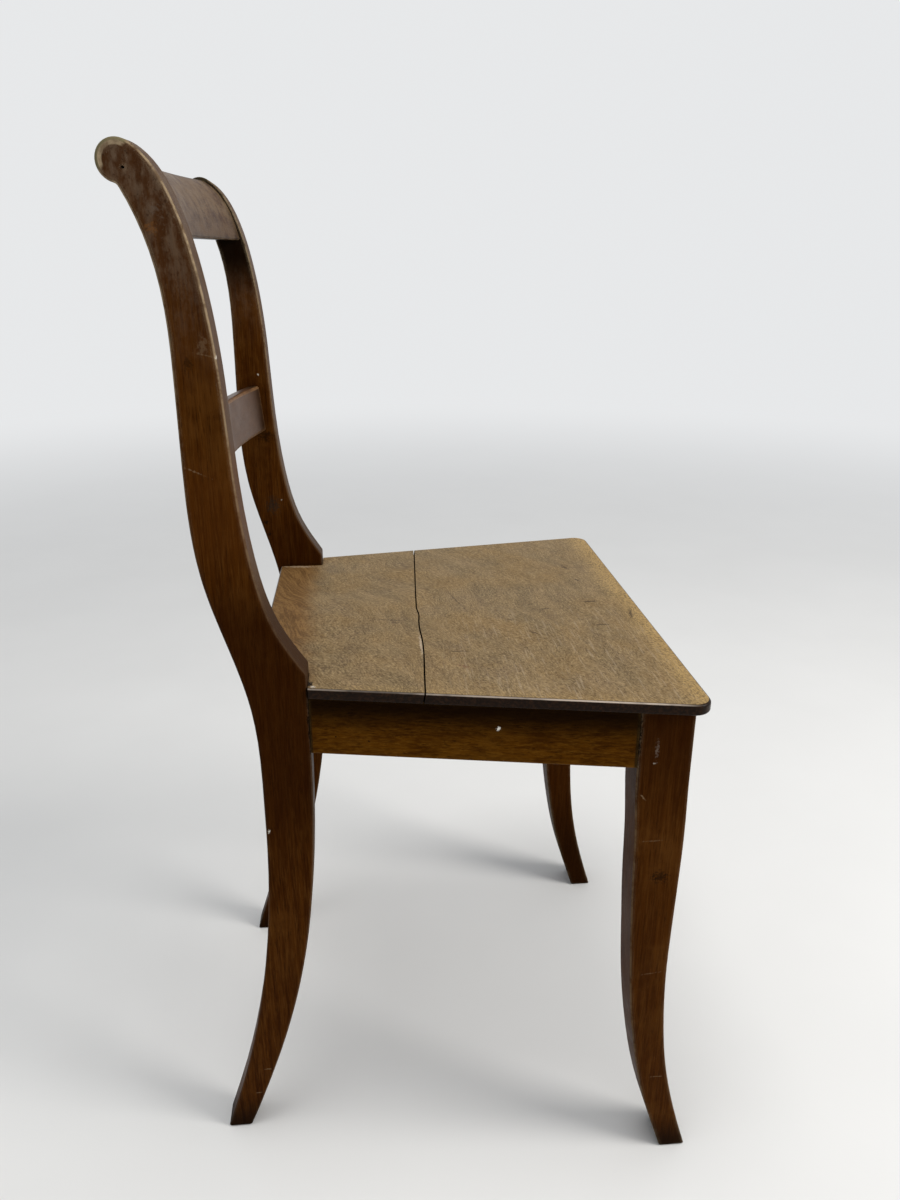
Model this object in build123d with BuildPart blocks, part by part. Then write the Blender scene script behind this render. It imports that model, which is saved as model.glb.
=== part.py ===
from build123d import *
from math import asin, atan2, cos, degrees, radians, sin, sqrt, tan
import os

# Biedermeier side chair: joined hardwood frame, plank seat split in two.
# Millimetres, +Z up, the front of the chair faces -Y, the sitter's right is -X.

# Seat
seat_height = 470.0
seat_thickness = 9.5
seat_front_overhang = 10.0
seat_side_overhang = 14.0
seat_rear_overhang = 2.5
seat_corner_radius = 14.0
seat_edge_round = 2.8
seat_under_round = 2.0
seat_tongue = 44.0
tongue_edge_round = 2.0

# Split across the seat: distance in front of the posts, at places across the chair
split_gap = 1.3
split_lean = -10.0
split_line = [(-240, 88.6), (-185, 91.0), (-145, 92.9), (-97, 95.2), (-70, 95.2), (-56, 94.7), (-27, 95.4)]
split_line += [(-14, 95.9), (-5, 95.0), (10, 95.0), (32, 95.8), (80, 97.9), (132, 100.2), (240, 104.4)]

# Seat frame
rail_height = 50.5
rail_thickness = 22.0
rail_recess = 1.5
rail_edge_round = 1.5
side_rail_length = 255.1
rear_rail_setback = 20.0
rear_rail_thickness = 18.0
tenon_thickness = 9.0
tenon_length = 17.0
tenon_shoulder = 4.0
glue_line = 0.1
fit_gap = 0.3

# Rear posts: leg and back stile in one, sawn from a plank that leans outwards
post_front_y = 101.58
post_thickness = 26.0
back_half_width = 165.0
back_splay = 1.5
post_edge_round = 2.2
waist_height = 345.0
waist_depth = 41.0
waist_inset = 1.2
rear_foot_rake = 77.5
rear_foot_depth = 21.5
rear_foot_front_lean = 23.0
rear_foot_back_lean = 18.0
foot_chamfer = 1.5
tip_rise = 9.6
tip_round = 4.0
tip_lean = 33.0

# Post curves below the seat: height over the floor, setback from the joint face
post_leg_front_curve = [(38, 62.4), (94, 42.9), (165, 23.2), (248, 8.6)]
post_leg_back_curve = [(69, 77.2), (143, 59.9), (235, 46.3)]

# Post curves above the seat: rise over the seat, setback from the joint face
post_front_curve = [(44, 19.8), (98, 35.2), (168, 43), (247, 47.5), (312, 56.5), (350, 67.4)]
post_back_curve = [(-15, 45.7), (42, 60.3), (91, 72.9), (175, 78.4), (236, 77.9), (312, 83.3)]

# Scroll at the top of each post, with a nail hole near its middle on the sitter's right
scroll_rise = 371.0
scroll_setback = 98.3
scroll_radius = 13.3
scroll_start = -75.0
scroll_end = 118.0
notch_radius = 4.0
notch_lean = 28.0
nail_hole_diameter = 1.6
nail_hole_depth = 4.0
nail_hole_offset = (-3.9, -4.1)

# Back rails, bowed backwards between the posts
bow_radius = 600.0
crest_rise = 329.0
crest_recess = 2.5
crest_thickness = 18.0
crest_tenon_width = 30.0
crest_edge_round = 1.5
cross_rail_rise = 168.0
cross_rail_height = 46.0
cross_rail_thickness = 13.0
cross_rail_inset = 10.5
cross_rail_lean = 6.0
cross_rail_round = 3.0
back_tenon_thickness = 7.0
back_tenon_length = 16.0
back_tenon_shoulder = 6.0

# Front legs
front_half_width = 209.5
leg_thickness = 33.0
leg_depth = 43.4
leg_edge_round = 2.0
leg_block_margin = 8.0
front_foot_sweep = 32.8
front_foot_depth = 24.0
front_foot_lean = 18.0

# Leg curves: height over the floor, distance back from the leg's front face at its top
leg_front_curve = [(350, -0.8), (303, -0.1), (250, 1.3), (212, 1.9), (165, 0.3), (101, -6.6)]
leg_back_curve = [(350, 40.7), (300, 39.2), (239, 36.2), (179, 32.0), (139, 27.0), (64, 11.8)]

# Corner blocks, their screws, and the rub blocks under the seat
block_reach = 45.0
block_height = 32.0
screw_diameter = 4.0
screw_head_diameter = 8.0
screw_length = 38.0
screw_slot = 1.2
rub_block_side = 14.0
rub_block_length = 40.0
rub_block_spacing = 5.0

# Places that follow from the sizes
splay = radians(back_splay)
seat_underside = seat_height - seat_thickness
rail_bottom = seat_underside - glue_line - rail_height
rail_middle = rail_bottom + rail_height / 2
leg_back_y = post_front_y - side_rail_length
leg_front_y = leg_back_y - leg_depth
leg_inner_x = front_half_width - leg_thickness
seat_front_y = leg_front_y - seat_front_overhang
seat_front_half = front_half_width + seat_side_overhang
seat_rear_half = back_half_width + seat_rear_overhang
seat_back_y = post_front_y + seat_tongue
post_slant_thickness = post_thickness / cos(splay)
cut_margin = 30.0


def post_outer_x(height):
    return back_half_width + (height - seat_height) * tan(splay)


def post_inner_x(height):
    return post_outer_x(height) - post_slant_thickness


def post_point(rise, setback):
    return (post_front_y + setback, seat_height + rise)


def inner_face_plane(side, inset):
    # Plane along a post's inner face, moved into the post by the inset, facing the chair's middle
    origin = (side * (post_inner_x(seat_height) + inset), 0, seat_height)
    return Plane(origin=origin, x_dir=(0, 1, 0), z_dir=(-side * cos(splay), 0, sin(splay)))


def strip(x_first, x_last, y_low, y_high, z_low, z_high):
    # Square bar between two places
    with BuildPart() as bar:
        with BuildSketch(Plane.XY.offset(z_low)):
            with Locations(((x_first + x_last) / 2, (y_low + y_high) / 2)):
                Rectangle(x_last - x_first, y_high - y_low)
        extrude(amount=z_high - z_low)
    return bar.part


# Side rail lines in plan: the outer face runs from post to leg
rail_rear_x = post_outer_x(rail_middle) - rail_recess
rail_front_x = front_half_width - rail_recess
rail_slope = (rail_front_x - rail_rear_x) / side_rail_length
rail_angle = atan2(rail_front_x - rail_rear_x, side_rail_length)
rail_slant_thickness = rail_thickness / cos(rail_angle)


def rail_outer_x(y):
    return rail_rear_x + (post_front_y - y) * rail_slope


def rail_inner_x(y):
    return rail_outer_x(y) - rail_slant_thickness


def side_rail_bar(inset, y_low, y_high, z_low, z_high):
    # Slanted bar of the right side rail, thinner by the inset on both faces
    shift = inset / cos(rail_angle)
    with BuildPart() as bar:
        with BuildSketch(Plane.XY.offset(z_low)):
            with BuildLine():
                Polyline(
                    (-rail_outer_x(y_low) + shift, y_low),
                    (-rail_outer_x(y_high) + shift, y_high),
                    (-rail_inner_x(y_high) - shift, y_high),
                    (-rail_inner_x(y_low) - shift, y_low),
                    close=True,
                )
            make_face()
        extrude(amount=z_high - z_low)
    return bar.part


def side_rail_tenon(gap):
    inset = (rail_thickness - tenon_thickness) / 2 - gap
    reach = tenon_length + gap
    return side_rail_bar(
        inset,
        leg_back_y - reach,
        post_front_y + reach,
        rail_bottom + tenon_shoulder - gap,
        seat_underside - tenon_shoulder + gap,
    )


front_rail_front_y = leg_front_y + rail_recess
front_rail_back_y = front_rail_front_y + rail_thickness


def front_rail_tenon(gap):
    inset = (rail_thickness - tenon_thickness) / 2 - gap
    reach = leg_inner_x + tenon_length + gap
    return strip(
        -reach,
        reach,
        front_rail_front_y + inset,
        front_rail_back_y - inset,
        rail_bottom + tenon_shoulder - gap,
        seat_underside - tenon_shoulder + gap,
    )


rear_rail_front_y = post_front_y + rear_rail_setback
rear_rail_back_y = rear_rail_front_y + rear_rail_thickness


def rear_rail_bar(inset, depth, shoulder):
    # Bar between the posts, its ends cut along their leaning inner faces
    reach = back_half_width + cut_margin
    blank = strip(
        -reach,
        reach,
        rear_rail_front_y + inset,
        rear_rail_back_y - inset,
        rail_bottom + shoulder,
        seat_underside - glue_line - shoulder,
    )
    with BuildPart() as bar:
        add(blank)
        split(bisect_by=inner_face_plane(-1, depth), keep=Keep.TOP)
        split(bisect_by=inner_face_plane(1, depth), keep=Keep.TOP)
    return bar.part


def rear_rail_tenon(gap):
    inset = (rear_rail_thickness - tenon_thickness) / 2 - gap
    return rear_rail_bar(inset, tenon_length + gap, tenon_shoulder - gap)


def back_tenon(center_y, center_z, width, lean, half_span, gap):
    # Straight tenon at both ends of a bowed rail, its section leaning with the rail
    reach = half_span + back_tenon_length + gap
    section = Plane(origin=(-reach, center_y, center_z), x_dir=(0, 1, 0), z_dir=(1, 0, 0))
    with BuildPart() as tenon:
        with BuildSketch(section):
            with Locations(Rotation(0, 0, -lean)):
                Rectangle(back_tenon_thickness + 2 * gap, width + 2 * gap)
        extrude(amount=back_tenon_length + gap + back_tenon_shoulder)
        mirror(about=Plane.YZ)
    return tenon.part


# Scroll and the ends of the post curves
def on_circle(center, radius, angle):
    return (center[0] + radius * cos(radians(angle)), center[1] + radius * sin(radians(angle)))


def heading(angle):
    return (cos(radians(angle)), sin(radians(angle)))


scroll_center = post_point(scroll_rise, scroll_setback)
scroll_y, scroll_z = scroll_center
crown = on_circle(scroll_center, scroll_radius, scroll_end)
front_rows = post_front_curve + [(crown[1] - seat_height, crown[0] - post_front_y)]


def front_setback(rise):
    # Setback of the posts' front faces at a rise over the seat
    spans = zip(front_rows, front_rows[1:])
    low, high = next(span for span in spans if rise <= span[1][0])
    return low[1] + (rise - low[0]) / (high[0] - low[0]) * (high[1] - low[1])


def bow_depth(half_span):
    return bow_radius - sqrt(bow_radius**2 - half_span**2)


def bow_plane(end_y, half_span):
    # Upright plane through the axis of the bow, at its left end: local x is the radius there
    axis_y = end_y + bow_depth(half_span) - bow_radius
    turn = asin((half_span + back_tenon_length) / bow_radius)
    start = Plane(origin=(0, axis_y, 0), x_dir=(sin(turn), cos(turn), 0), z_dir=(cos(turn), -sin(turn), 0))
    return start, Axis((0, axis_y, 0), (0, 0, 1)), 2 * degrees(turn)


# Cross rail: middle of its section at the posts
cross_rail_z = seat_height + cross_rail_rise
cross_half_span = post_inner_x(cross_rail_z)
cross_end_y = post_front_y + front_setback(cross_rail_rise) + cross_rail_inset + cross_rail_thickness / 2


def cross_rail_tenon(gap):
    width = cross_rail_height - 2 * back_tenon_shoulder
    return back_tenon(cross_end_y, cross_rail_z, width, cross_rail_lean, cross_half_span, gap)


# Crest rail: its lower edge at the posts, and the middle of its section
crest_z = seat_height + crest_rise
crest_front_y = post_front_y + front_setback(crest_rise) + crest_recess
crest_back_y = crest_front_y + crest_thickness
crest_core_radius = scroll_radius - crest_recess
crest_low_y = (crest_front_y + crest_back_y) / 2
crest_middle_y = (crest_low_y + scroll_y) / 2
crest_middle_z = (crest_z + scroll_z) / 2
crest_lean = degrees(atan2(scroll_y - crest_low_y, scroll_z - crest_z))
crest_half_span = post_inner_x(crest_middle_z)


def crest_tenon(gap):
    return back_tenon(crest_middle_y, crest_middle_z, crest_tenon_width, crest_lean, crest_half_span, gap)


# Curve ends shared by the posts and the crest rail
notch_first = 180 - notch_lean
notch_sweep = scroll_start + notch_lean
notch_run = heading(90 - notch_lean)
crown_run = heading(scroll_end + 90)


def notch_center(radius):
    return on_circle(scroll_center, radius + notch_radius, scroll_start)


# Rear posts
floor_x = post_outer_x(0)
post_plane = Plane(origin=(-floor_x, 0, 0), x_dir=(0, 1, 0), z_dir=(cos(splay), 0, sin(splay)))
foot_drop = -post_thickness * tan(splay) - glue_line
foot_front = (post_front_y + rear_foot_rake, foot_drop)
foot_back = (post_front_y + rear_foot_rake + rear_foot_depth, foot_drop)
waist_front = (post_front_y + waist_inset, waist_height)
waist_back = (post_front_y + waist_depth, waist_height)
joint_foot = (post_front_y, rail_bottom)
post_notch_center = notch_center(scroll_radius)
post_notch = on_circle(post_notch_center, notch_radius, notch_first)
tip_center = (post_front_y + tip_round, seat_height + tip_rise)
tip = on_circle(tip_center, tip_round, 180 - tip_lean)
tip_run = heading(270 - tip_lean)
post_mortises = [
    side_rail_tenon(glue_line),
    rear_rail_tenon(glue_line),
    cross_rail_tenon(glue_line),
    crest_tenon(glue_line),
]


def post_leg_points(rows):
    return [(post_front_y + setback, height) for height, setback in rows]


def smooth_curve(points, first_run, last_run):
    # Curve through the points, with set headings at its ends
    Spline(*points, tangents=(first_run, last_run), tangent_scalars=(1, 1))


def foot_edges(leg):
    # The edges round the underside of a leg
    return leg.faces().sort_by(Axis.Z)[0].edges()


with BuildPart() as post_blank:
    with BuildSketch(post_plane):
        with BuildLine():
            Line(foot_front, foot_back)
            back_points = post_leg_points(post_leg_back_curve)
            smooth_curve([foot_back, *back_points, waist_back], heading(90 + rear_foot_back_lean), (0, 1))
            back_points = [post_point(*row) for row in post_back_curve]
            smooth_curve([waist_back, *back_points, post_notch], (0, 1), notch_run)
            CenterArc(post_notch_center, notch_radius, notch_first, notch_sweep)
            CenterArc(scroll_center, scroll_radius, scroll_start, scroll_end - scroll_start)
            front_points = [post_point(*row) for row in reversed(post_front_curve)]
            smooth_curve([crown, *front_points, tip], crown_run, tip_run)
            CenterArc(tip_center, tip_round, 180 - tip_lean, tip_lean)
            Line((post_front_y, seat_height + tip_rise), joint_foot)
            front_points = [*post_leg_points(post_leg_front_curve), waist_front]
            smooth_curve([foot_front, *front_points, joint_foot], heading(90 + rear_foot_front_lean), (0, 1))
        make_face()
    extrude(amount=post_thickness)
    split(bisect_by=Plane.XY, keep=Keep.TOP)
    side_faces = post_blank.faces().sort_by(SortBy.AREA)[-2:]
    long_edges = side_faces.edges().filter_by(lambda edge: edge.center().Z > 1)
    fillet(long_edges, radius=post_edge_round)
    chamfer(foot_edges(post_blank), length=foot_chamfer)
    for mortise in post_mortises:
        add(mortise, mode=Mode.SUBTRACT)

with BuildPart() as rear_post_right:
    add(post_blank.part)
    with BuildSketch(post_plane):
        with Locations((scroll_y + nail_hole_offset[0], scroll_z + nail_hole_offset[1])):
            Circle(nail_hole_diameter / 2)
    extrude(amount=nail_hole_depth, mode=Mode.SUBTRACT)

with BuildPart() as rear_post_left:
    mirror(post_blank.part, about=Plane.YZ)

# Front legs
leg_top = seat_underside - glue_line
leg_block_z = rail_bottom - leg_block_margin
foot_run = heading(270 - front_foot_lean)
leg_mortises = [side_rail_tenon(glue_line), front_rail_tenon(glue_line)]


def leg_point(height, back):
    return (leg_front_y + back, height)


with BuildPart() as front_leg_right:
    with BuildSketch(Plane.YZ.offset(-front_half_width)):
        with BuildLine():
            toe = leg_point(0, -front_foot_sweep)
            heel = leg_point(0, front_foot_depth - front_foot_sweep)
            block_back = [leg_point(leg_block_z, leg_depth), leg_point(leg_top, leg_depth)]
            Polyline(*block_back, leg_point(leg_top, 0), leg_point(leg_block_z, 0))
            front_points = [leg_point(*row) for row in leg_front_curve]
            smooth_curve([leg_point(leg_block_z, 0), *front_points, toe], (0, -1), foot_run)
            Line(toe, heel)
            back_points = [leg_point(*row) for row in leg_back_curve]
            smooth_curve([leg_point(leg_block_z, leg_depth), *back_points, heel], (0, -1), foot_run)
        make_face()
    extrude(amount=leg_thickness)
    side_faces = front_leg_right.faces().sort_by(SortBy.AREA)[-2:]
    long_edges = side_faces.edges().filter_by(lambda edge: 1 < edge.center().Z < leg_top - 1)
    fillet(long_edges, radius=leg_edge_round)
    chamfer(foot_edges(front_leg_right), length=foot_chamfer)
    for mortise in leg_mortises:
        add(mortise, mode=Mode.SUBTRACT)

with BuildPart() as front_leg_left:
    mirror(front_leg_right.part, about=Plane.YZ)

# Rails of the seat frame
rail_top = seat_underside - glue_line
side_rail_body = side_rail_bar(0, leg_back_y + glue_line, post_front_y - glue_line, rail_bottom, rail_top)
side_rail_tongue = side_rail_tenon(0)
shoulder_x = leg_inner_x - glue_line
front_rail_faces = (front_rail_front_y, front_rail_back_y)
front_rail_body = strip(-shoulder_x, shoulder_x, *front_rail_faces, rail_bottom, rail_top)
front_rail_tongue = front_rail_tenon(0)
rear_rail_body = rear_rail_bar(0, -glue_line, 0)
rear_rail_tongue = rear_rail_tenon(0)


def low_edges(rail):
    # The two long edges along the underside of a rail
    return rail.edges().group_by(Axis.Z)[0].sort_by(SortBy.LENGTH)[-2:]


with BuildPart() as side_rail_right:
    add(side_rail_body)
    fillet(low_edges(side_rail_right), radius=rail_edge_round)
    add(side_rail_tongue)

with BuildPart() as side_rail_left:
    mirror(side_rail_right.part, about=Plane.YZ)

with BuildPart() as front_rail:
    add(front_rail_body)
    fillet(low_edges(front_rail), radius=rail_edge_round)
    add(front_rail_tongue)

with BuildPart() as rear_rail:
    add(rear_rail_body)
    fillet(low_edges(rear_rail), radius=rail_edge_round)
    add(rear_rail_tongue)

# Cross rail of the back
cross_start, cross_axis, cross_turn = bow_plane(cross_end_y, cross_half_span)
cross_tongue = cross_rail_tenon(0)

with BuildPart() as cross_rail:
    with BuildSketch(cross_start) as cross_section:
        with Locations(Location((bow_radius, cross_rail_z, 0), (0, 0, -cross_rail_lean))):
            Rectangle(cross_rail_thickness, cross_rail_height)
        fillet(cross_section.vertices(), radius=cross_rail_round)
    revolve(axis=cross_axis, revolution_arc=cross_turn)
    split(bisect_by=inner_face_plane(-1, -glue_line), keep=Keep.TOP)
    split(bisect_by=inner_face_plane(1, -glue_line), keep=Keep.TOP)
    add(cross_tongue)

# Crest rail, with the scrolled section of the posts a little smaller
crest_start, crest_axis, crest_turn = bow_plane(crest_front_y, crest_half_span)
crest_tongue = crest_tenon(0)
crest_rows = [row for row in post_front_curve if row[0] > crest_rise]
crest_notch_center = notch_center(crest_core_radius)


def crest_point(point):
    # Place in the crest's section plane: radius from the bow's axis, height
    return (bow_radius + point[0] - crest_front_y, point[1])


with BuildPart() as crest_rail:
    with BuildSketch(crest_start):
        with BuildLine():
            low_front = crest_point((crest_front_y, crest_z))
            low_back = crest_point((crest_back_y, crest_z))
            rows = [post_point(rise, setback + crest_recess) for rise, setback in crest_rows]
            front_run = (rows[0][0] - crest_front_y, rows[0][1] - crest_z)
            crest_crown = crest_point(on_circle(scroll_center, crest_core_radius, scroll_end))
            crest_notch = crest_point(on_circle(crest_notch_center, notch_radius, notch_first))
            crest_face = [low_front, *[crest_point(row) for row in rows], crest_crown]
            Line(low_back, low_front)
            smooth_curve(crest_face, front_run, heading(scroll_end - 90))
            crest_scroll = crest_point(scroll_center)
            CenterArc(crest_scroll, crest_core_radius, scroll_start, scroll_end - scroll_start)
            CenterArc(crest_point(crest_notch_center), notch_radius, notch_first, notch_sweep)
            Line(crest_notch, low_back)
        make_face()
    revolve(axis=crest_axis, revolution_arc=crest_turn)
    split(bisect_by=inner_face_plane(-1, -glue_line), keep=Keep.TOP)
    split(bisect_by=inner_face_plane(1, -glue_line), keep=Keep.TOP)
    fillet(low_edges(crest_rail), radius=crest_edge_round)
    add(crest_tongue)

# Screws: slotted, countersunk, driven up through the corner blocks into the seat
block_top = seat_underside - glue_line
block_bottom = block_top - block_height
front_block = [
    (-leg_inner_x + fit_gap, leg_back_y + fit_gap),
    (-rail_inner_x(leg_back_y + fit_gap) + glue_line, leg_back_y + fit_gap),
    (-rail_inner_x(leg_back_y + block_reach) + glue_line, leg_back_y + block_reach),
    (-leg_inner_x + block_reach, front_rail_back_y + glue_line),
    (-leg_inner_x + fit_gap, front_rail_back_y + glue_line),
]
block_side_x = post_inner_x(block_bottom) - fit_gap
rear_block = [
    (-block_side_x, post_front_y - fit_gap),
    (-rail_inner_x(post_front_y - fit_gap) + glue_line, post_front_y - fit_gap),
    (-rail_inner_x(post_front_y - block_reach) + glue_line, post_front_y - block_reach),
    (-block_side_x + block_reach, rear_rail_front_y - glue_line),
    (-block_side_x, rear_rail_front_y - glue_line),
]


def block_center(corners):
    return [sum(corner[axis] for corner in corners) / len(corners) for axis in (0, 1)]


screw_places = [block_center(front_block), block_center(rear_block)]


def screw(place, gap, slotted):
    # Screw standing on its point, wider by the gap for its hole
    shank = screw_diameter / 2 + gap
    head = screw_head_diameter / 2 + gap
    axis_plane = Plane(origin=(*place, block_bottom), x_dir=(1, 0, 0), z_dir=(0, -1, 0))
    with BuildPart() as fastener:
        with BuildSketch(axis_plane):
            with BuildLine():
                Polyline(
                    (0, 0),
                    (head, 0),
                    (shank, head - shank),
                    (shank, screw_length - screw_diameter),
                    (0, screw_length + gap),
                    close=True,
                )
            make_face()
        revolve(axis=Axis((*place, block_bottom), (0, 0, 1)))
        if slotted:
            with BuildSketch(Plane(origin=(*place, block_bottom))):
                Rectangle(screw_head_diameter, screw_slot)
            extrude(amount=screw_slot, mode=Mode.SUBTRACT)
    return fastener.part


screw_holes = [screw(place, glue_line, False) for place in screw_places]
screws = [screw(place, 0, True) for place in screw_places]

with BuildPart() as seat_screws:
    for fastener in screws:
        add(fastener)
        mirror(fastener, about=Plane.YZ)


# Corner blocks, glued into the corners of the seat frame
def corner_block(corners, hole):
    with BuildPart() as block:
        with BuildSketch(Plane.XY.offset(block_bottom)):
            with BuildLine():
                Polyline(*corners, close=True)
            make_face()
        extrude(amount=block_height)
        add(hole, mode=Mode.SUBTRACT)
    return block.part


front_block_solid = corner_block(front_block, screw_holes[0])
rear_block_solid = corner_block(rear_block, screw_holes[1])

with BuildPart() as corner_block_front_right:
    add(front_block_solid)

with BuildPart() as corner_block_front_left:
    mirror(front_block_solid, about=Plane.YZ)

with BuildPart() as corner_block_rear_right:
    add(rear_block_solid)

with BuildPart() as corner_block_rear_left:
    mirror(rear_block_solid, about=Plane.YZ)


# Rub blocks, glued between the rails and the seat
def rub_block(origin, inward, along):
    with BuildPart() as block:
        with BuildSketch(Plane(origin=origin, x_dir=inward, z_dir=along)):
            with BuildLine():
                inner = glue_line + rub_block_side
                Polyline((glue_line, 0), (inner, 0), (glue_line, -rub_block_side), close=True)
            make_face()
        extrude(amount=rub_block_length / 2, both=True)
    return block.part


rub_step = block_reach + rub_block_spacing + rub_block_length / 2
rail_inward = (cos(rail_angle), -sin(rail_angle), 0)
rail_along = (-sin(rail_angle), -cos(rail_angle), 0)
rub_places = [post_front_y - rub_step, leg_back_y + rub_step]
rub_blocks = [rub_block((-rail_inner_x(y), y, block_top), rail_inward, rail_along) for y in rub_places]
rub_blocks.append(rub_block((rub_step - leg_inner_x, front_rail_back_y, block_top), (0, 1, 0), (1, 0, 0)))

with BuildPart() as seat_rub_blocks:
    for block in rub_blocks:
        add(block)
        mirror(block, about=Plane.YZ)

# Seat plank: wider in front, a tongue between the posts, its rim rounded above and below
tongue_half = post_inner_x(seat_underside) - fit_gap
seat_notch_y = post_front_y - fit_gap


def rim(edges):
    # The edges along the front and the sides of the seat
    return edges.filter_by(lambda edge: edge.center().Y < seat_notch_y - 1)


with BuildPart() as seat_plank:
    with BuildSketch(Plane.XY.offset(seat_underside)) as seat_outline:
        with BuildLine():
            Polyline(
                (-seat_front_half, seat_front_y),
                (seat_front_half, seat_front_y),
                (seat_rear_half, seat_notch_y),
                (tongue_half, seat_notch_y),
                (tongue_half, seat_back_y),
                (-tongue_half, seat_back_y),
                (-tongue_half, seat_notch_y),
                (-seat_rear_half, seat_notch_y),
                close=True,
            )
        make_face()
        fillet(seat_outline.vertices().group_by(Axis.Y)[0], radius=seat_corner_radius)
    extrude(amount=seat_thickness)
    fillet(rim(seat_plank.edges().group_by(Axis.Z)[0]), radius=seat_under_round)
    fillet(rim(seat_plank.edges().group_by(Axis.Z)[-1]), radius=seat_edge_round)
    fillet(seat_plank.faces().sort_by(Axis.Y)[-1].edges().filter_by(Axis.X), radius=tongue_edge_round)


# The plank has split along its grain into two boards; the crack runs backwards on its way down
split_run = (0, sin(radians(split_lean)), cos(radians(split_lean)))
split_drift = (seat_thickness + cut_margin) * tan(radians(split_lean))


def split_side(shift, far_y):
    # Region of the seat on one side of the split, out to a line beyond the seat
    start_y = post_front_y - split_drift + shift
    points = [(across, start_y - ahead) for across, ahead in split_line]
    with BuildPart() as region:
        with BuildSketch(Plane.XY.offset(seat_underside - cut_margin)):
            with BuildLine():
                Spline(*points)
                Polyline(points[-1], (points[-1][0], far_y), (points[0][0], far_y), points[0])
            make_face()
        extrude(amount=seat_thickness + 2 * cut_margin, dir=split_run)
    return region.part


front_side = split_side(-split_gap / 2, seat_front_y - 2 * cut_margin)
rear_side = split_side(split_gap / 2, seat_back_y + 2 * cut_margin)

with BuildPart() as seat_board_front:
    add(seat_plank.part)
    add(front_side, mode=Mode.INTERSECT)
    add(screw_holes[0], mode=Mode.SUBTRACT)
    add(screw_holes[0].mirror(Plane.YZ), mode=Mode.SUBTRACT)

with BuildPart() as seat_board_rear:
    add(seat_plank.part)
    add(rear_side, mode=Mode.INTERSECT)
    add(screw_holes[1], mode=Mode.SUBTRACT)
    add(screw_holes[1].mirror(Plane.YZ), mode=Mode.SUBTRACT)

# One file for each piece
pieces = {
    "rear_post_right": rear_post_right,
    "rear_post_left": rear_post_left,
    "front_leg_right": front_leg_right,
    "front_leg_left": front_leg_left,
    "side_rail_right": side_rail_right,
    "side_rail_left": side_rail_left,
    "front_rail": front_rail,
    "rear_rail": rear_rail,
    "cross_rail": cross_rail,
    "crest_rail": crest_rail,
    "seat_board_front": seat_board_front,
    "seat_board_rear": seat_board_rear,
    "corner_block_front_right": corner_block_front_right,
    "corner_block_front_left": corner_block_front_left,
    "corner_block_rear_right": corner_block_rear_right,
    "corner_block_rear_left": corner_block_rear_left,
    "seat_rub_blocks": seat_rub_blocks,
    "seat_screws": seat_screws,
}

os.makedirs("parts", exist_ok=True)
for name, piece in pieces.items():
    piece.part.label = name
    export_step(piece.part, f"parts/{name}.step")
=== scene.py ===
import math

import bpy
from mathutils import Matrix, Vector

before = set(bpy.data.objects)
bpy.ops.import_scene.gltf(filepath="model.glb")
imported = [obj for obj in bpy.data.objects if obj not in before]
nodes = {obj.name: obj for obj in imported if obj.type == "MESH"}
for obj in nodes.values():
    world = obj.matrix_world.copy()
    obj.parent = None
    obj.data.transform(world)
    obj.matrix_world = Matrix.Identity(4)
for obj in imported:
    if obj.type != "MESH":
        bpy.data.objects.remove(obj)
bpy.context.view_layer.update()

# Seat in metres: height of its top, its front line, half width there and narrowing per metre of depth
seat_top = 0.470
seat_front = -0.2069
seat_front_half = 0.2235
seat_taper = 0.1817

# Fades on the seat in metres: where each begins and ends
scratches_along = (0.01, -0.04)
scratches_across = (0.02, -0.06)
polish_along = (0.112, 0.138)
front_rim_depth = (0.002, 0.030)
side_rim_depth = (0.002, 0.016)
side_rim_across = (-0.05, 0.05)
rim_along = (0.06, 0.10)
corner_height = (seat_top - 0.004, seat_top - 0.002)
corner_depth = (0.008, 0.030)
corner_along = (-0.16, 0.10)

# Walls of the crack: least part of their normal along the chair, and half the stretch they lie in
crack_wall_normal = 0.8
crack_half_reach = 0.03

# Fades on the posts in metres: where each begins and ends, in height or from the chair's middle
dull_height = (0.69, 0.84)
sitter_sheen_height = (0.50, 0.72)
rubbed_height = (0.50, 0.80)
outer_side = (0.1620, 0.1700)

# Scroll of a post: its middle along the chair and in height, its way up, where its upper half begins
scroll_middle = (0.1999, 0.8410)
scroll_up = (0, 0.656, 0.755)
scroll_upper_half = (0.0015, 0.0045)

# Rings round the scroll's middle, the outer one carrying painted sheen: where they start, are full, begin to
# fade and end
scroll_rubbed_ring = (0.0080, 0.0092, 0.0106, 0.0116)
scroll_sheen_ring = (0.0102, 0.0114, 0.0150, 0.0160)

# Tones of the frame: dark, middle, light, worn
brown = [(0.028, 0.0068, 0.0005), (0.058, 0.0175, 0.0018), (0.096, 0.037, 0.007), (0.330, 0.250, 0.155)]
rail_brown = [(0.042, 0.0125, 0.0006), (0.088, 0.031, 0.0018), (0.130, 0.054, 0.006), (0.250, 0.140, 0.045)]
crest_brown = [(0.024, 0.0085, 0.004), (0.038, 0.014, 0.0068), (0.056, 0.023, 0.012), (0.180, 0.120, 0.065)]
cross_brown = [(0.036, 0.014, 0.006), (0.056, 0.024, 0.0105), (0.080, 0.038, 0.018), (0.260, 0.135, 0.055)]
wax_tint = (1.0, 0.6, 0.3)

# Tones of the posts' old surface, with painted sheen towards the sitter and round the scroll's rim
dull_dark = (0.050, 0.021, 0.0085)
dull_light = (0.108, 0.070, 0.044)
pale_scuff = (0.150, 0.110, 0.080)
dark_scuff = (0.018, 0.008, 0.004)
sitter_side_sheen = (0.082, 0.050, 0.028)
scroll_rim_sheen = (0.150, 0.125, 0.068)
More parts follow.
